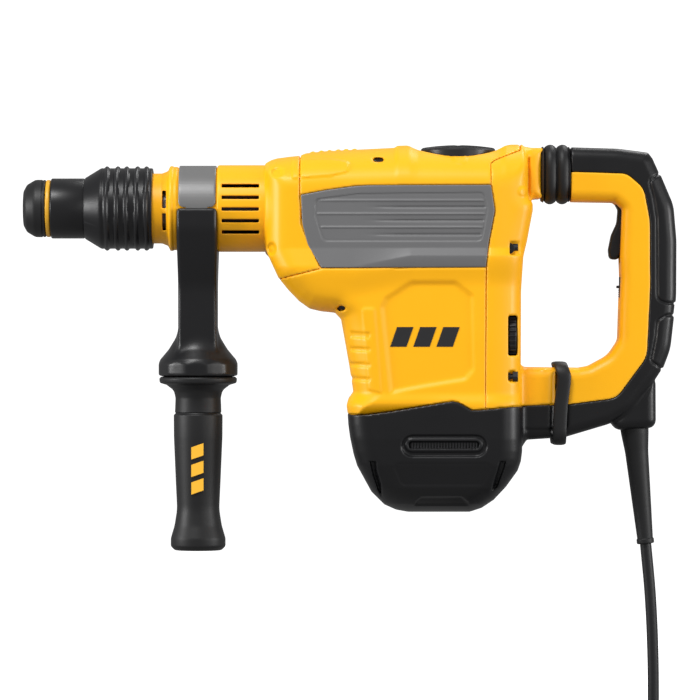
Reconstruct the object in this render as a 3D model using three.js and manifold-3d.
// A corded demolition and drilling hammer with an SDS-max style tool holder.
//
// Every shape is drawn in the tool frame: X runs rearwards from the nose tip, Y across the tool, Z up,
// with the spindle on the X axis. The exported group then moves the origin to the middle of the rear grip,
// where a hand holds the tool. Units are millimetres.
import * as THREE from "three";
import { mergeVertices } from "three/addons/utils/BufferGeometryUtils.js";
import Module from "manifold-3d";

const wasm = await Module();
wasm.setup();

// ---------------------------------------------------------------- driving dimensions
const GRIP = { x: 464, z: -42 }; // middle of the rear grip, the part's origin
const GAP = 0.3; // between pieces that touch
const WALL = 3; // plastic housings
const SIDES = 16; // facets round a housing section

const BARREL_R = 32.3; // ventilated barrel
const COLLAR = { from: 115, to: 144.3, r: 30.2 }; // groove that the side handle clamps on
const SIDE_HANDLE_X = 129.8;
const NECK_R = 26.1; // barrel in front of its flange
const BARREL_END = 181;

const BIT_R = 9.3; // tool holder bore for an 18 mm shank
const BORE_END = 92;
const SPINDLE_R = 21.5;
const CYLINDER_R = 17.6;

const MODULE = 1.25; // spur gears
const PINION_TEETH = 7;
const WHEEL_TEETH = 42;
const CENTRES = (MODULE * (PINION_TEETH + WHEEL_TEETH)) / 2;
const MOTOR_X = 303;
const CRANK_X = MOTOR_X + CENTRES;
const LAYSHAFT_X = MOTOR_X - CENTRES;
const GEAR_Z = -72; // underside of the spur gears
const GEAR_THICK = 6;
const CRANK_THROW = 12;
const ROD_LENGTH = 52;
const FACE_MODULE = 1.5; // pinion and face gear that turn the spindle
const FACE_PINION_TEETH = 6;
const FACE_GEAR_TEETH = 36;

const FRONT_SEAM_X = 205.4;
const REAR_SEAM_X = 344.4;
const DIAL = { x: 323.4, r: 28.2, bottom: 33, top: 47 };
const THUMBWHEEL = { x: 364, y: -22.5, z: -94.8, r: 18.5, half: 3 };
const SCREW_Y = 38; // rear cover screws, both on the same side
const SCREW_Z = { upper: -29.8, lower: -125 };
const DRIVE_KEYS = { count: 3, from: 20, to: 60, half: 1.9 };
const PIVOT = { x: 400, z: -133 }; // lower bearing of the sprung rear handle
const TRIGGER_PIVOT = { x: 447.5, z: -1 };

const RELIEF = { top: [455, -166], end: [463.1, -249.5], r0: 9.6, r1: 5.8 };
const CORD_R = 4.3;
const FLOOR_Z = -418; // what the coiled cord lies on while the tool is held above it
const TIE = 1.3; // thickness of the tie round the coil
const COIL = { x: 395.8, r: 51.5, half: 16.6, bottom: FLOOR_Z + TIE + GAP, high: 26 };

// ---------------------------------------------------------------- materials
const finish = (color, roughness, metalness = 0) =>
  new THREE.MeshStandardMaterial({ color, roughness, metalness });
const YELLOW = finish(0xf9b512, 0.45);
const BLACK = finish(0x29292b, 0.5);
const RUBBER = finish(0x1d1d1f, 0.75);
const GREY = finish(0x8f8f8f, 0.6);
const STEEL = finish(0xa9adb2, 0.35, 0.9);
const DARK_STEEL = finish(0x55585c, 0.4, 0.9);
const COPPER = finish(0xb87333, 0.4, 0.9);
const ALUMINIUM = finish(0xb9bcc0, 0.5, 0.8);

// ---------------------------------------------------------------- solids from geometry
function solidOf(geometry) {
  const bare = geometry.index ? geometry.toNonIndexed() : geometry.clone();
  bare.deleteAttribute("normal");
  bare.deleteAttribute("uv");
  const merged = mergeVertices(bare, 1e-4);
  const vertProperties = merged.attributes.position.array;
  const triVerts = new Uint32Array(merged.index.array);
  const made = new wasm.Manifold(new wasm.Mesh({ numProp: 3, vertProperties, triVerts }));
  if (made.volume() >= 0) return made;
  for (let i = 0; i < triVerts.length; i += 3) {
    [triVerts[i + 1], triVerts[i + 2]] = [triVerts[i + 2], triVerts[i + 1]];
  }
  return new wasm.Manifold(new wasm.Mesh({ numProp: 3, vertProperties, triVerts }));
}

function geometryOf(solid) {
  const mesh = solid.getMesh();
  const positions = new Float32Array(mesh.numVert * 3);
  for (let i = 0; i < mesh.numVert; i++) {
    const from = i * mesh.numProp;
    positions.set(mesh.vertProperties.subarray(from, from + 3), i * 3);
  }
  const geometry = new THREE.BufferGeometry();
  geometry.setAttribute("position", new THREE.BufferAttribute(positions, 3));
  geometry.setIndex(new THREE.BufferAttribute(mesh.triVerts, 1));
  geometry.computeVertexNormals();
  return geometry;
}

const joined = (first, ...rest) => rest.reduce((sum, next) => sum.add(next), first);
const cut = (first, ...rest) => rest.reduce((sum, next) => sum.subtract(next), first);

// A ring of revolution: the profile is [along, radius] pairs, closed on itself or by the axis.
function turned(axis, profile, sides = 24, at = [0, 0]) {
  const points = profile.map(([along, radius]) => new THREE.Vector2(radius, along));
  const geometry = new THREE.LatheGeometry([...points, points[0]], sides);
  if (axis === "x") geometry.rotateZ(-Math.PI / 2).translate(0, at[0], at[1]);
  if (axis === "y") geometry.translate(at[0], 0, at[1]);
  if (axis === "z") geometry.rotateX(Math.PI / 2).translate(at[0], at[1], 0);
  return solidOf(geometry);
}

// A plain rod, or a tube where inner is given. "at" is its place across its own axis.
const rod = (axis, radius, from, to, at, sides = 16) =>
  turned(axis, [[from, 0], [from, radius], [to, radius], [to, 0]], sides, at);
const tube = (axis, radius, inner, from, to, at, sides = 20) =>
  turned(axis, [[from, inner], [from, radius], [to, radius], [to, inner]], sides, at);

function block(x0, x1, y0, y1, z0, z1) {
  const geometry = new THREE.BoxGeometry(x1 - x0, y1 - y0, z1 - z0);
  return solidOf(geometry.translate((x0 + x1) / 2, (y0 + y1) / 2, (z0 + z1) / 2));
}

// Turns corners [u, v, radius] into a closed outline with true arcs at the rounded corners.
function outline(corners) {
  const arcStep = Math.PI / 6;
  const points = [];
  corners.forEach(([u, v, radius = 0], i) => {
    const here = new THREE.Vector2(u, v);
    if (!radius) {
      points.push(here);
      return;
    }
    const [pu, pv] = corners[(i + corners.length - 1) % corners.length];
    const [nu, nv] = corners[(i + 1) % corners.length];
    const back = new THREE.Vector2(pu - u, pv - v).normalize();
    const on = new THREE.Vector2(nu - u, nv - v).normalize();
    const half = Math.acos(THREE.MathUtils.clamp(back.dot(on), -1, 1)) / 2;
    const middle = back.clone().add(on).normalize();
    const centre = here.clone().addScaledVector(middle, radius / Math.sin(half));
    const start = here.clone().addScaledVector(back, radius / Math.tan(half)).sub(centre);
    const end = here.clone().addScaledVector(on, radius / Math.tan(half)).sub(centre);
    const sweep = Math.atan2(start.cross(end), start.dot(end));
    const steps = Math.max(1, Math.ceil(Math.abs(sweep) / arcStep));
    for (let k = 0; k <= steps; k++) {
      const turn = start.clone().rotateAround(new THREE.Vector2(), (sweep * k) / steps);
      points.push(turn.add(centre));
    }
  });
  return points;
}

// An outline given in X and Z, extruded across the tool from -half to +half.
function slab(corners, half, bevel = 0, segments = 2) {
  const geometry = new THREE.ExtrudeGeometry(new THREE.Shape(outline(corners)), {
    depth: 2 * (half - bevel),
    bevelEnabled: bevel > 0,
    bevelThickness: bevel,
    bevelSize: bevel,
    bevelOffset: -bevel,
    bevelSegments: segments,
  });
  return solidOf(geometry.rotateX(Math.PI / 2).translate(0, half - bevel, 0));
}

// An outline given in Y and Z, extruded along X.
function slabAlongX(corners, from, to) {
  const shape = new THREE.Shape(outline(corners));
  const geometry = new THREE.ExtrudeGeometry(shape, { depth: to - from, bevelEnabled: false });
  const axes = new THREE.Matrix4().makeBasis(
    new THREE.Vector3(0, 1, 0),
    new THREE.Vector3(0, 0, 1),
    new THREE.Vector3(1, 0, 0),
  );
  return solidOf(geometry.applyMatrix4(axes).translate(from, 0, 0));
}

// An outline given in X and Y, extruded up Z.
function slabAlongZ(points, from, to, at = [0, 0]) {
  const shape = new THREE.Shape(points);
  const geometry = new THREE.ExtrudeGeometry(shape, { depth: to - from, bevelEnabled: false });
  return solidOf(geometry.translate(at[0], at[1], from));
}

// A skin through rounded sections. Each is [along, low, high, halfWidth, squareness]; low and high are its
// limits in Z for a loft along X, and in X for a loft along Z. Squareness 2 is an ellipse, 5 a rounded box.
function loft(axis, sections, sides, inset = 0) {
  const positions = [];
  const index = [];
  const put = (along, across, y) =>
    positions.push(...(axis === "x" ? [along, y, across] : [across, y, along]));
  for (const [along, low, high, halfWidth, squareness] of sections) {
    const middle = (low + high) / 2;
    for (let i = 0; i < sides; i++) {
      const angle = ((i + 0.5) / sides) * 2 * Math.PI;
      const bend = (value) => Math.sign(value) * Math.abs(value) ** (2 / squareness);
      put(
        along,
        middle + ((high - low) / 2 - inset) * bend(Math.sin(angle)),
        (halfWidth - inset) * bend(Math.cos(angle)),
      );
    }
  }
  for (let ring = 0; ring < sections.length - 1; ring++) {
    for (let i = 0; i < sides; i++) {
      const a = ring * sides + i;
      const b = ring * sides + ((i + 1) % sides);
      index.push(a, b, b + sides, a, b + sides, a + sides);
    }
  }
  const last = (sections.length - 1) * sides;
  for (let i = 1; i < sides - 1; i++) {
    index.push(0, i + 1, i, last, last + i, last + i + 1);
  }
  const geometry = new THREE.BufferGeometry();
  geometry.setAttribute("position", new THREE.Float32BufferAttribute(positions, 3));
  return solidOf(geometry.setIndex(index));
}

// A round wire or cord that follows a curve.
function along(curve, radius, steps, sides) {
  const ring = Array.from({ length: sides }, (_, i) => {
    const angle = (i / sides) * 2 * Math.PI;
    return new THREE.Vector2(radius * Math.cos(angle), radius * Math.sin(angle));
  });
  const options = { steps, extrudePath: curve, bevelEnabled: false };
  return solidOf(new THREE.ExtrudeGeometry(new THREE.Shape(ring), options));
}

class Helix extends THREE.Curve {
  constructor(radius, wire, turns, from, to) {
    super();
    Object.assign(this, { radius, wire, turns, from, to });
  }
  getPoint(t) {
    const angle = t * this.turns * 2 * Math.PI;
    const x = this.from + this.wire + t * (this.to - this.from - 2 * this.wire);
    return new THREE.Vector3(x, this.radius * Math.cos(angle), this.radius * Math.sin(angle));
  }
}

// Straight-flanked gear outline. "tip" and "root" are tooth heights in modules, "share" the tooth's part
// of the pitch at the pitch circle, and "turn" the angle of its first tooth in pitches.
function gearPoints(teeth, module, { tip = 0.6, root = 1, share = 0.34, turn = 0 } = {}) {
  const pitchR = (teeth * module) / 2;
  const corner = (radius, angle) =>
    new THREE.Vector2(radius * Math.cos(angle), radius * Math.sin(angle));
  const points = [];
  for (let i = 0; i < teeth; i++) {
    const middle = ((i + turn) / teeth) * 2 * Math.PI;
    const thick = (share / teeth) * Math.PI;
    points.push(corner(pitchR - root * module, middle - thick * 1.35));
    points.push(corner(pitchR + tip * module, middle - thick * 0.6));
    points.push(corner(pitchR + tip * module, middle + thick * 0.6));
    points.push(corner(pitchR - root * module, middle + thick * 1.35));
  }
  return points;
}

// ---------------------------------------------------------------- the assembly
const tool = new THREE.Group();
const shift = new THREE.Group();
shift.position.set(-GRIP.x, 0, -GRIP.z);
tool.add(shift);

function add(name, material, solid) {
  const mesh = new THREE.Mesh(geometryOf(solid), material);
  mesh.name = name;
  shift.add(mesh);
}

// ---------------------------------------------------------------- tool holder
function toolHolder() {
  const { count, from, to, half } = DRIVE_KEYS;
  const keys = Array.from({ length: count }, (_, i) =>
    block(from, to, -half, half, BIT_R - 1.6, BIT_R + 1.5).rotate([90 + (i * 360) / count, 0, 0]),
  );
  const bored = turned("x", [
    [4, BIT_R], [4, 15.2], [15.2, 15.2], [15.2, 17], [84, 17], [84, 24], [89, 24], [89, SPINDLE_R],
    [300, SPINDLE_R], [300, CYLINDER_R], [158, CYLINDER_R], [154, 12.4], [BORE_END, 12.4],
    [BORE_END, BIT_R],
  ]);
  const windows = [1, -1].map((side) =>
    block(52, 72, -4, 4, side > 0 ? 8 : -18, side > 0 ? 18 : -8),
  );
  add("spindle", STEEL, cut(joined(bored, ...keys), ...windows));

  [["upper", 1], ["lower", -1]].forEach(([which, side]) =>
    add(`locking_roller_${which}`, DARK_STEEL, rod("x", 3.2, 53, 66, [0, 14 * side], 12)),
  );
  add("dust_cap", RUBBER, turned("x", [
    [0, 10], [0, 12.4], [1.6, 16], [4.8, 19.2], [10, 21.3], [14.9, 21.2],
    [14.9, 15.7], [3.7, 15.7], [3.7, 10],
  ]));
  add("retaining_ring", YELLOW, tube("x", 21.2, 17.3, 15.2, 20.1, [0, 0], 24));

  add("lock_sleeve", BLACK, turned("x", [
    [20.5, 19.6], [20.5, 22.4], [45, 22.4], [54.5, 28.6], [62, 31.4], [94.5, 31.4], [96, 30.3],
    [96, 27], [64, 27], [57, 25.4], [57, 19.6],
  ], 28));
  const spring = new Helix(21.6, 1.3, 5, 57.6, 83.4);
  add("sleeve_spring", STEEL, along(spring, 1.3, 60, 4));
}

// ---------------------------------------------------------------- hammer mechanism in the spindle
function hammerMechanism() {
  add("beat_piece", DARK_STEEL, turned("x", [
    [98, 0], [98, 8.6], [104, 12.1], [150, 12.1], [152, 9], [168, 9], [168, 0],
  ], 20));
  add("striker", DARK_STEEL, turned("x", [
    [178, 0], [178, 7], [182, 17.2], [199, 17.2], [199, 15.6], [203, 15.6], [203, 17.2], [222, 17.2], [222, 0],
  ], 20));
  const pinX = CRANK_X - CRANK_THROW;
  const wristX = pinX - ROD_LENGTH;
  const body = turned("x", [[250, 0], [250, 17.2], [284, 17.2], [284, 0]], 20);
  const mouth = block(257, 290, -6.5, 6.5, -10, 10);
  const wristPin = rod("y", 4, -15, 15, [wristX, 0], 12);
  add("piston", ALUMINIUM, joined(cut(body, mouth), wristPin));

  const smallEnd = tube("y", 8.6, 4.3, -6, 6, [wristX, 0], 16);
  const bigEnd = tube("z", 10.5, 5.3, -5, 5, [pinX, 0], 20);
  const shank = block(wristX + 7, pinX - 8.6, -4, 4, -4, 4);
  add("connecting_rod", STEEL, joined(smallEnd, bigEnd, shank));
  add("crank_pin", STEEL, rod("z", 5, -14 + GAP, 7, [pinX, 0], 16));

  add("crankshaft", STEEL, joined(
    rod("z", 6, -76, -20, [CRANK_X, 0], 16),
    rod("z", 20, -22, -14, [CRANK_X, 0], 28),
  ));
  const wheelTop = GEAR_Z + GEAR_THICK;
  const wheel = (x, bore, turn) =>
    cut(
      slabAlongZ(gearPoints(WHEEL_TEETH, MODULE, { turn }), GEAR_Z, wheelTop, [x, 0]),
      rod("z", bore, GEAR_Z - 1, wheelTop + 1, [x, 0], 16),
    );
  // The pinion has a tooth pointing at the crank wheel, which meets it with a tooth space, and a tooth
  // space pointing at the layshaft wheel, which fills it with a tooth.
  add("crank_gear", STEEL, wheel(CRANK_X, 6 + GAP, 0.5));
  add("intermediate_gear", STEEL, wheel(LAYSHAFT_X, 4 + GAP, 0));
  const pinionBack = FACE_GEAR_TEETH * FACE_MODULE / 2;
  add("intermediate_shaft", STEEL, joined(
    rod("z", 4, -77, -pinionBack - 5, [LAYSHAFT_X, 0], 16),
    slabAlongZ(
      gearPoints(FACE_PINION_TEETH, FACE_MODULE, { turn: 0, share: 0.4, root: 0.9 }),
      -pinionBack - 5.5, -pinionBack + 4.5, [LAYSHAFT_X, 0],
    ),
  ));
  add("face_gear", STEEL, faceGear());
}

// A ring with radial teeth on its rear face, which the small pinion drives.
function faceGear() {
  const pitchX = LAYSHAFT_X - (FACE_PINION_TEETH * FACE_MODULE) / 2;
  const [inner, outer, front] = [SPINDLE_R + GAP, 31, pitchX - 7.5];
  const [low, high] = [pitchX - 1.05 * FACE_MODULE, pitchX + 0.7 * FACE_MODULE];
  const share = 0.34;
  const steps = [];
  for (let i = 0; i < FACE_GEAR_TEETH; i++) {
    const at = (part) => ((i + 0.5 + part) / FACE_GEAR_TEETH) * 2 * Math.PI;
    steps.push([at(-share * 0.72), low], [at(-share * 0.32), high]);
    steps.push([at(share * 0.32), high], [at(share * 0.72), low]);
  }
  const positions = [];
  const index = [];
  steps.forEach(([angle, top], i) => {
    const put = (x, r) => positions.push(x, r * Math.sin(angle), -r * Math.cos(angle));
    put(front, inner);
    put(front, outer);
    put(top, outer);
    put(top, inner);
    const a = i * 4;
    const b = ((i + 1) % steps.length) * 4;
    for (let k = 0; k < 4; k++) {
      const n = (k + 1) % 4;
      index.push(a + k, b + k, b + n, a + k, b + n, a + n);
    }
  });
  const geometry = new THREE.BufferGeometry();
  geometry.setAttribute("position", new THREE.Float32BufferAttribute(positions, 3));
  return solidOf(geometry.setIndex(index));
}

// ---------------------------------------------------------------- motor
function motor() {
  const at = [MOTOR_X, 0];
  add("armature_shaft", STEEL, joined(
    rod("z", 4, -208, GEAR_Z - 2, at),
    slabAlongZ(gearPoints(PINION_TEETH, MODULE), GEAR_Z - 2.5, GEAR_Z + GEAR_THICK + 1, at),
  ));
  add("armature_core", DARK_STEEL, tube("z", 22, 4 + GAP, -150, -100, at, 24));
  add("commutator", COPPER, tube("z", 12, 4 + GAP, -178, -158, at, 20));
  const blades = Array.from({ length: 9 }, (_, i) =>
    block(10, 33, -0.8, 0.8, -94, -87).rotate([0, 0, i * 40]).translate([MOTOR_X, 0, 0]),
  );
  add("cooling_fan", BLACK, joined(
    tube("z", 34, 4 + GAP, -96, -94, at, 24),
    tube("z", 12, 4 + GAP, -95, -85, at, 16),
    ...blades,
  ));
  const field = tube("z", 38, 23.4, -152, -98, at, 28);
  const flats = [-1, 1].map((side) => block(260, 346, side > 0 ? 34 : -44, side > 0 ? 44 : -34, -160, -90));
  add("stator", DARK_STEEL, cut(field, ...flats));
  [["left", -1], ["right", 1]].forEach(([which, side]) => {
    const [near, far] = [12.4 * side, 30 * side];
    add(`brush_${which}`, DARK_STEEL,
      block(MOTOR_X - 4, MOTOR_X + 4, Math.min(near, far), Math.max(near, far), -173, -163));
  });
  add("lower_bearing", STEEL, tube("z", 11, 4 + GAP, -206, -198, at, 20));
  add("upper_bearing", STEEL, tube("z", 13, 4 + GAP, -83, -75, at, 20));
  const plate = slabAlongZ(outline([
    [246, -30, 14], [360, -30, 12], [360, 30, 12], [246, 30, 14],
  ]), -82, -78);
  add("bearing_plate", ALUMINIUM, cut(
    plate,
    rod("z", 13 + GAP, -90, -70, at, 20),
    rod("z", 6 + GAP, -90, -70, [CRANK_X, 0], 16),
    rod("z", 4 + GAP, -90, -70, [LAYSHAFT_X, 0], 16),
  ));
  add("spindle_bearing", STEEL, tube("x", 26, SPINDLE_R + GAP, 236, 246, [0, 0], 28));
}

// ---------------------------------------------------------------- housing
// Upper housing, front to back, as sections along X.
const UPPER = [
  [BARREL_END, -33, 33, 33, 2.1],
  [184, -39.5, 35.2, 37, 2.3],
  [190, -51.5, 37.2, 41, 2.6],
  [198, -62, 38.5, 44.5, 2.9],
  [207, -69, 39.6, 46.5, 3.1],
  [216, -73.5, 41.6, 47.6, 3.2],
  [234, -77.5, 43.2, 48, 3.3],
  [345, -80, 45, 47.5, 3.3],
  [362, -80, 45, 44, 3.2],
  [369, -80, 45, 40, 3.2],
];
// Motor housing and cap, top to bottom, as sections along Z.
const LOWER = [
  [-55, 234, 370, 45, 5.5],
  [-82, 236, 369.3, 46, 5.5],
  [-136, 245.3, 369, 46.5, 5.5],
  [-142, 241.6, 369, 47.5, 4.5],
  [-152, 241, 369.3, 48.5, 4.5],
  [-171, 243.2, 370.2, 48.5, 4.2],
  [-190, 248, 368.3, 47, 3.8],
  [-207, 256.5, 358.5, 42, 3.4],
  [-219, 267.5, 347, 35, 3.1],
  [-225.5, 284, 333, 25, 3],
];
const widen = ([at, low, high, half, squareness], by) => [at, low + by, high - by, half - by, squareness];

function housingBody(inset, sides) {
  const upper = UPPER.map((section) => widen(section, inset));
  const lower = LOWER.map((section) => widen(section, inset));
  if (inset > 0) {
    upper[0] = [BARREL_END - 2, ...widen(UPPER[0], inset).slice(1)];
    upper[upper.length - 1][0] -= inset;
    lower[lower.length - 1][0] += inset;
  }
  return joined(loft("x", upper, sides), loft("z", lower, sides));
}

// Seams as closed outlines in X and Z: what lies in front of, behind and below them.
const SEAM = {
  front: [
    [170, 60], [FRONT_SEAM_X, 60], [FRONT_SEAM_X, 8], [206.4, -12, 40], [221, -45.5], [178, -55], [170, -55],
  ],
  rear: [
    [430, 70], [371, 70], [371, 44.5], [351.5, 36.5], [348.2, 17.8], [351.2, -1.1, 20], [346, -27],
    [REAR_SEAM_X, -44], [REAR_SEAM_X, -153], [430, -153],
  ],
  below: [
    [220, -152.4], [254, -154, 10], [320, -143.6, 4], [334, -150.4, 4], [366, -147.8], [430, -146],
    [430, -260], [220, -260],
  ],
};
const PANEL_GAP = 0.5;
const PANEL = [
  [206.6, 10.6], [254, 18.1], [347.8, 18.2], [350.8, -1.1, 12], [345.8, -27, 40], [344, -44.2],
  [221.8, -44.2], [207.6, -16, 40],
];

// The panel is a little smaller than its recess, which it fills with a gap all round.
const smaller = ([x, z, radius]) => [
  x < MOTOR_X ? x + PANEL_GAP : x - PANEL_GAP,
  z > 0 ? z - PANEL_GAP : z + PANEL_GAP,
  radius,
];

// Cuts right through the tool. A copy moved by a gap cuts the neighbour back from the seam.
const prism = (corners) => slab(corners, 80);
const moved = (solid, x, z) => solid.translate([x, 0, z]);

function ventSlots() {
  const slots = [];
  for (const side of [0, 180]) {
    for (let i = -2; i <= 2; i++) {
      const slot = block(148.5, 175.5, -BARREL_R - 4, -BARREL_R + 7, -1.25, 1.25);
      slots.push(slot.rotate([i * 16 + 2.5 + side, 0, 0]));
    }
    for (const turn of [-16, 16]) {
      slots.push(block(104, 106.6, -NECK_R - 4, -NECK_R + 5, -6.2, 6.2).rotate([turn + side, 0, 0]));
    }
  }
  return slots;
}

function barrel() {
  const skin = turned("x", [
    [90, 23.4], [90, NECK_R], [103.5, NECK_R], [107.2, 27.6], [109, 31.4], [COLLAR.from, 31.4],
    [COLLAR.from, COLLAR.r], [COLLAR.to, COLLAR.r], [COLLAR.to, BARREL_R], [BARREL_END - 3, BARREL_R],
    [BARREL_END - 3, 28.5], [147, 28.5], [143, 26.4], [112, 26.4], [108, 23.4],
  ], 28);
  add("barrel", YELLOW, cut(skin, ...ventSlots()));
}

function housing() {
  const outer = housingBody(0, SIDES);
  const inner = housingBody(WALL, 12);
  const shell = cut(outer, inner);
  const behind = prism(SEAM.rear);
  const below = prism(SEAM.below);
  const ahead = prism(SEAM.front);

  const dialHole = rod("z", DIAL.r + 0.6, 30, 60, [DIAL.x, 0], 24);
  const socket = tube("x", 33, 29.6, BARREL_END - 3 + GAP, BARREL_END + 4, [0, 0], 28);
  add("front_cover", YELLOW, cut(joined(shell.intersect(ahead), socket), below));

  const panelPrism = prism(PANEL);
  const recess = cut(panelPrism, housingBody(2, SIDES));
  const inset = housingBody(1.6, SIDES);
  const blank = cut(housingBody(-0.8, SIDES), inset).intersect(prism(PANEL.map(smaller)));
  add("main_housing", YELLOW, cut(
    shell, moved(ahead, GAP, -GAP), moved(behind, -GAP, 0), moved(below, 0, GAP), recess, dialHole,
  ));
  [["left", -1], ["right", 1]].forEach(([which, side]) => {
    const half = block(200, 355, side > 0 ? 2 : -60, side > 0 ? 60 : -2, -60, 40);
    add(`side_panel_${which}`, GREY, blank.intersect(half));
  });

  rearCover(shell.intersect(behind), behind, dialHole, below);
  motorCap(shell.intersect(below));
}

function rearCover(shellPart, behind, dialHole, below) {
  // Neck that carries the sprung handle, and the lower arm with the tongue of the pivot.
  const neck = loft("x", [[360, 7, 44.8, 19, 3], [385.7, 7, 44.8, 18.5, 3]], 24);
  const neckBore = loft("x", [[350, 11, 40.8, 15, 3], [386, 11, 40.8, 14.5, 3]], 16);
  const arm = loft("x", [[360, -147.6, -117.4, 20, 3.2], [391.5, -145.9, -118.3, 19, 3.2]], 24);
  const armBore = loft("x", [[350, -144, -121.5, 16, 3.2], [388, -142, -122, 15, 3.2]], 16);
  const tongue = slab([
    [380, PIVOT.z - 9], [PIVOT.x, PIVOT.z - 9], [PIVOT.x + 9, PIVOT.z - 9, 8.8],
    [PIVOT.x + 9, PIVOT.z + 9, 8.8], [380, PIVOT.z + 9],
  ], 8);
  const web = block(386, 391.5, -19, 19, -144, -120).intersect(arm);
  const pinHole = rod("y", 4 + GAP, -12, 12, [PIVOT.x, PIVOT.z], 16);
  const { x: wheelX, y: wheelY, z: wheelZ, r: wheelR, half: wheelHalf } = THUMBWHEEL;
  const room = wheelHalf + 2 * GAP;
  const wheelRoom = rod("x", wheelR + 0.8, wheelX - room, wheelX + room, [wheelY, wheelZ], 20);
  const screwPocket = (z) =>
    joined(
      block(362.4, 380, -60, -SCREW_Y + 4.4, z - 5, z + 5),
      rod("x", 2.4, 340, 364, [-SCREW_Y, z], 12),
    );
  const belowGap = moved(below, 0, GAP);
  const body = joined(shellPart, cut(neck, neckBore).intersect(behind), cut(arm, armBore), web);
  const pockets = Object.values(SCREW_Z).map(screwPocket);
  const clean = cut(body, dialHole, belowGap, wheelRoom, ...pockets);
  const opened = cut(clean, neckBore, cut(armBore, block(384, 392, -30, 30, -150, -110)));
  const tongueOutside = tongue.intersect(block(386, 420, -10, 10, -150, -110));
  add("rear_cover", YELLOW, cut(joined(opened, tongueOutside), pinHole));
  for (const [which, z] of Object.entries(SCREW_Z)) {
    const profile = [[349, 0], [349, 2], [362.8, 2], [362.8, 3.8], [366.5, 3.8], [366.5, 0]];
    add(`rear_screw_${which}`, DARK_STEEL, turned("x", profile, 12, [-SCREW_Y, z]));
  }
  add("isolator_bolt", STEEL, joined(
    rod("x", 4, 374, 424, [0, 25.5], 14),
    rod("x", 8, 420, 424, [0, 25.5], 16),
    rod("x", 9, 374, 378, [0, 25.5], 16),
  ));
}

function motorCap(shellPart) {
  const arm = loft("x", [[352, -175, -140, 20.5, 3.2], [391.5, -173, -140, 19.5, 3.2]], 24);
  const armBore = loft("x", [[345, -171, -140, 16.5, 3.2], [387, -169, -140, 15.5, 3.2]], 16);
  const insideCap = loft("z", LOWER.map((section) => widen(section, WALL)).slice(4, -1), 18);
  const armSkin = cut(cut(arm, armBore), insideCap).intersect(prism(SEAM.below));
  const slots = [-1, 1].map((side) =>
    block(287, 338.6, side > 0 ? 40 : -60, side > 0 ? 60 : -40, -178.4, -174),
  );
  const openArm = cut(armBore, block(300, 366, -30, 30, -200, -100));
  const foot = block(284, 333, -24, 24, -225.5, -222.5);
  add("motor_cap", BLACK, cut(joined(shellPart, armSkin, foot), ...slots, openArm));
}

// ---------------------------------------------------------------- controls on the housing
function dials() {
  const eccentric = joined(
    rod("z", 6, 28, DIAL.bottom + 1, [DIAL.x, 0], 16),
    rod("z", 2.5, 24.5, 29, [DIAL.x + 3, 0], 10),
  );
  const knob = turned("z", [
    [DIAL.bottom, 0], [DIAL.bottom, 24], [36, DIAL.r], [44.6, DIAL.r],
    [45.6, 26], [DIAL.top - 0.2, 14], [DIAL.top, 0],
  ], 24, [DIAL.x, 0]);
  add("mode_dial", BLACK, joined(knob, eccentric));

  const teeth = 10;
  const notches = Array.from({ length: teeth }, (_, i) =>
    block(-5, 5, -0.9, 0.9, THUMBWHEEL.r - 0.9, THUMBWHEEL.r + 2).rotate([(i * 360) / teeth, 0, 0])
      .translate([THUMBWHEEL.x, THUMBWHEEL.y, THUMBWHEEL.z]),
  );
  const { x, y, z, r, half } = THUMBWHEEL;
  const disc = rod("x", r, x - half, x + half, [y, z], 20);
  add("speed_dial", BLACK, cut(disc, ...notches));
}

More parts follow.
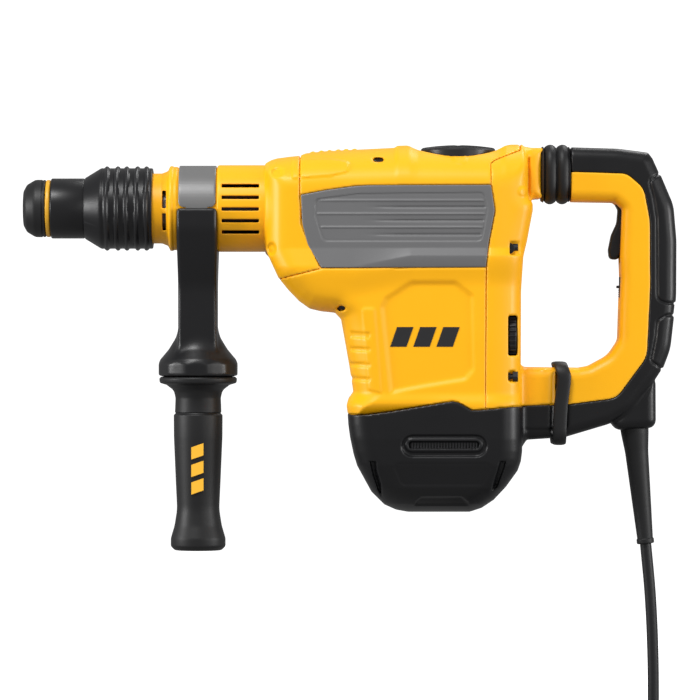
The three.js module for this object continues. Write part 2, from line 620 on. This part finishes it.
// ---------------------------------------------------------------- side handle
function sideHandle() {
  const legsMeet = -56;
  const strapOuter = 31.9;
  const bandWidth = 13.8;
  const legWidth = 8;
  const loop = (radius, bottom, half) =>
    joined(
      rod("x", radius, SIDE_HANDLE_X - half, SIDE_HANDLE_X + half, [0, 0], 28),
      slabAlongX(
        [[-radius, 0], [-radius, -10, 14], [-7, bottom], [7, bottom], [radius, -10, 14], [radius, 0]],
        SIDE_HANDLE_X - half, SIDE_HANDLE_X + half,
      ),
    );
  const band = cut(loop(strapOuter, legsMeet, bandWidth), loop(COLLAR.r + GAP, legsMeet + 2.4, bandWidth + 2));
  const sideCut = (side) => {
    const centre = SIDE_HANDLE_X + side * (legWidth + 10);
    return block(centre - 10, centre + 10, -50, 50, -70, -0.4);
  };
  const axis = [SIDE_HANDLE_X, 0];
  add("clamp_strap", GREY, cut(band, sideCut(1), sideCut(-1), rod("z", 4.4, -70, -40, axis, 14)));
  add("tension_bolt", STEEL, joined(
    rod("z", 4, -176, -52, axis, 16),
    rod("x", 4.4, SIDE_HANDLE_X - 7, SIDE_HANDLE_X + 7, [0, -48.4], 14),
  ));

  const half = 14.9;
  const fork = cut(
    slabAlongX([
      [-37, -0.9, 1.5], [-37, -16, 20], [-20.5, -58, 30], [-18, -112], [18, -112], [20.5, -58, 30], [37, -16, 20],
      [37, -0.9, 1.5],
    ], SIDE_HANDLE_X - half, SIDE_HANDLE_X + half),
    rod("x", COLLAR.r + GAP, 100, 160, [0, 0], 28),
    rod("x", 32, 100, COLLAR.from + GAP, [0, 0], 28),
    rod("x", BARREL_R + 0.6, COLLAR.to - GAP, 160, [0, 0], 28),
  );
  const legRoom = slabAlongX([
    [-33.6, 0], [-33.6, -12, 12], [-10, -62, 4], [10, -62, 4], [33.6, -12, 12], [33.6, 0],
  ], SIDE_HANDLE_X - legWidth - 0.6, SIDE_HANDLE_X + legWidth + 0.6);
  const flange = turned("z", [
    [-92, 12], [-98, 18.5], [-105, 23.5], [-111, 28], [-113, 29.6], [-122, 29.9],
    [-124.4, 28.6], [-124.4, 0], [-92, 0],
  ], 24, axis);
  add("handle_yoke", BLACK, cut(joined(fork, flange), legRoom, rod("z", 4.5, -130, -50, axis, 14)));

  const bore = rod("z", 4.5, -180, -120, axis, 14);
  add("side_grip", RUBBER, cut(turned("z", [
    [-125, 0], [-125, 24], [-127.6, 29.2], [-130.4, 27.6], [-133.5, 21], [-138.5, 17.2], [-152, 17.2],
    [-154, 18.4], [-225, 15.8], [-234, 16.9], [-246, 20.4], [-251.5, 20.4], [-254.5, 17.5], [-254.5, 0],
  ], 24, axis), bore));
}

// ---------------------------------------------------------------- sprung rear handle
const HAND_SIDE = [ // the yellow half, facing the housing
  [406.5, 5.2], [443, 4.6, 7], [443.6, -97, 14], [417, -118.5, 12], [407.5, -118.5], [407.5, -145.4],
  [440.5, -141, 20], [463.5, -113, 26], [465.6, -42, 400], [463.6, 25.6, 22], [406.5, 26.8],
];
const PALM_SIDE = [ // the black half, against the palm
  [406.5, 27.2], [464.1, 26, 22], [466.1, -42, 400], [464, -113.3, 26], [440.9, -141.4, 20], [407.5, -145.9],
  [407.5, -168.8], [436, -161], [439, -164.6], [469.8, -164.6], [469.8, -129], [479, -113, 14],
  [485, -70, 120], [485, -15, 60], [467, 39.5, 8], [440, 44.4, 60], [406.5, 45.3],
];

function rearHandle() {
  const gripRoom = slab([[447, -94, 4], [480, -88, 4], [480, -4, 8], [462, 17, 8], [447, 17, 4]], 12);
  const armRoom = block(400, 446, -12, 12, 12, 38);
  const triggerRoom = block(430, 450, -7.6, 7.6, -42, 4);
  const sliderRoom = block(430, 450, -4.4, 4.4, -72.5, -50);
  const cheeks = slab([[393.5, -123.5, 4], [412, -123.5], [412, -144], [393.5, -144, 4]], 15.5);
  const forkRoom = block(380, 412.5, -8.6, 8.6, -146, -117);
  const triggerPinHole = rod("y", 2 + GAP, -14.6, 14.6, [TRIGGER_PIVOT.x, TRIGGER_PIVOT.z], 12);
  const pivotHole = rod("y", 4 + GAP, -30, 30, [PIVOT.x, PIVOT.z], 16);
  add("handle_front_shell", YELLOW, cut(
    joined(slab(HAND_SIDE, 19.5, 6, 2), cheeks),
    gripRoom, armRoom, triggerRoom, sliderRoom, forkRoom, triggerPinHole, pivotHole,
  ));
  add("handle_rear_shell", BLACK, cut(slab(PALM_SIDE, 19.5, 4.5, 2), gripRoom, armRoom));
  add("pivot_pin", STEEL, rod("y", 4, -17, 17, [PIVOT.x, PIVOT.z], 16));

  const [bootMiddle, bootHigh, bootWide] = [-144.2, 28.7, 25.5];
  const bootRing = (x, thick) => [
    x, bootMiddle - bootHigh + thick, bootMiddle + bootHigh - thick, bootWide - thick, 3.6,
  ];
  add("lower_boot", RUBBER, cut(
    loft("x", [bootRing(393.2, 2), bootRing(395.5, 0), bootRing(404.5, 0), bootRing(406.8, 2)], 20),
    loft("x", [bootRing(390, 4.4), bootRing(410, 4.4)], 20),
  ));

  const middle = 25.4;
  const fold = (x, half) => [x, middle - half, middle + half, half, 2.8];
  add("upper_bellows", RUBBER, cut(
    loft("x", [
      fold(386.1, 20.6), fold(389, 22.1), fold(392.6, 22.1), fold(395.6, 18.8), fold(398.6, 22.1),
      fold(403.6, 22.1), fold(406.1, 20.6),
    ], 20),
    loft("x", [fold(380, 15.6), fold(410, 15.6)], 16),
  ));

  add("trigger", BLACK, cut(
    slab([
      [440.8, 2.2], [442.6, -6, 8], [440.6, -14, 12], [435.4, -27, 9], [435.8, -37.4, 3],
      [447, -37.4, 3], [453, -10, 6], [453, 4, 3],
    ], 7, 2, 2),
    rod("y", 2 + GAP, -10, 10, [TRIGGER_PIVOT.x, TRIGGER_PIVOT.z], 12),
  ));
  add("trigger_pin", STEEL, rod("y", 2, -14, 14, [TRIGGER_PIVOT.x, TRIGGER_PIVOT.z], 12));
  add("switch_module", BLACK, slab([[460.5, -52, 1], [474, -52, 1], [474, -8, 1], [460.5, -8, 1]], 10));
  add("lock_slider", BLACK, joined(
    block(443.2, 446, -4, 4, -66, -50.6),
    slab([[441.4, -60.5, 0.8], [444, -60.5], [444, -56, 0], [441.4, -56.8, 0.8]], 3),
  ));
}

// ---------------------------------------------------------------- power cord
const RELIEF_DIRECTION = new THREE.Vector3(
  RELIEF.end[0] - RELIEF.top[0], 0, RELIEF.end[1] - RELIEF.top[1],
).normalize();

// The cord hangs from its relief, bends onto the floor and runs round the foot of the coil.
const CORD_POINTS = [
  [463.13, 0, -249.8], [464.4, 0, -263], [466.3, 0, -284], [467.8, 0, -310], [468.7, 0, -338],
  [468.9, 0, -362], [468.9, 0.2, -380], [468.8, 3.7, -392], [467.9, 12, -403], [465.5, 22, -409.4],
  [462.3, 30.4, -411.8], [458.2, 37.8, -412.1], [451.1, 47.8, -412.1],
];

function powerCord() {
  const length = Math.hypot(RELIEF.end[0] - RELIEF.top[0], RELIEF.end[1] - RELIEF.top[1]);
  const sleeve = turned("z", [
    [0, 0], [0, RELIEF.r0], [-length * 0.35, RELIEF.r0 - 2.1], [-length + 4, RELIEF.r1],
    [-length + 3.4, RELIEF.r1 + 0.6], [-length, RELIEF.r1 + 0.6], [-length, 0],
  ], 20);
  const lean = THREE.MathUtils.radToDeg(Math.atan2(-RELIEF_DIRECTION.x, -RELIEF_DIRECTION.z));
  const [x, z] = RELIEF.top;
  add("strain_relief", RUBBER, sleeve.rotate([0, lean, 0]).translate([x, 0, z]));

  const route = new THREE.CatmullRomCurve3(CORD_POINTS.map((point) => new THREE.Vector3(...point)));
  add("power_cord", RUBBER, along(route, CORD_R, 16, 10));

  const [inner, outer, top] = [COIL.r - COIL.half, COIL.r + COIL.half, COIL.bottom + COIL.high];
  add("cord_coil", RUBBER, turned("z", [
    [COIL.bottom, inner + 3], [COIL.bottom, outer - 3], [COIL.bottom + 4, outer], [top - 4, outer],
    [top, outer - 3], [top, inner + 3], [top - 4, inner], [COIL.bottom + 4, inner],
  ], 32, [COIL.x, 0]));
  const slack = 4 * GAP;
  add("coil_tie", BLACK, cut(
    block(COIL.x - 6, COIL.x + 6, inner - slack - TIE, outer + slack + TIE, FLOOR_Z, top + GAP + TIE),
    block(COIL.x - 9, COIL.x + 9, inner - slack, outer + slack, COIL.bottom - GAP, top + GAP),
  ));

  // Plug, lying on the coil.
  const plug = { x: COIL.x - 7.5, y: -COIL.r - 2.5, z: top + 10 };
  const bodyShape = loft("x", [
    [plug.x, plug.z - 5.6, plug.z + 5.6, 6, 2.4], [plug.x + 5, plug.z - 7.2, plug.z + 7.2, 8.6, 2.8],
    [plug.x + 20, plug.z - 9, plug.z + 9, 12.6, 3], [plug.x + 32, plug.z - 9.6, plug.z + 9.6, 13.2, 3.4],
  ], 20).translate([0, plug.y, 0]);
  const blades = [-1, 1].map((side) => ({
    y: plug.y + side * 6.35,
    name: side < 0 ? "plug_blade_left" : "plug_blade_right",
  }));
  const sockets = blades.map(({ y }) =>
    block(plug.x + 26, plug.x + 34, y - 1.1, y + 1.1, plug.z - 3.5, plug.z + 3.5),
  );
  add("plug_body", RUBBER, cut(bodyShape, ...sockets));
  blades.forEach(({ y, name }) =>
    add(name, STEEL, block(plug.x + 26 + GAP, plug.x + 49, y - 0.75, y + 0.75, plug.z - 3.15, plug.z + 3.15)),
  );
}

toolHolder();
hammerMechanism();
motor();
barrel();
housing();
dials();
sideHandle();
rearHandle();
powerCord();

export default tool;
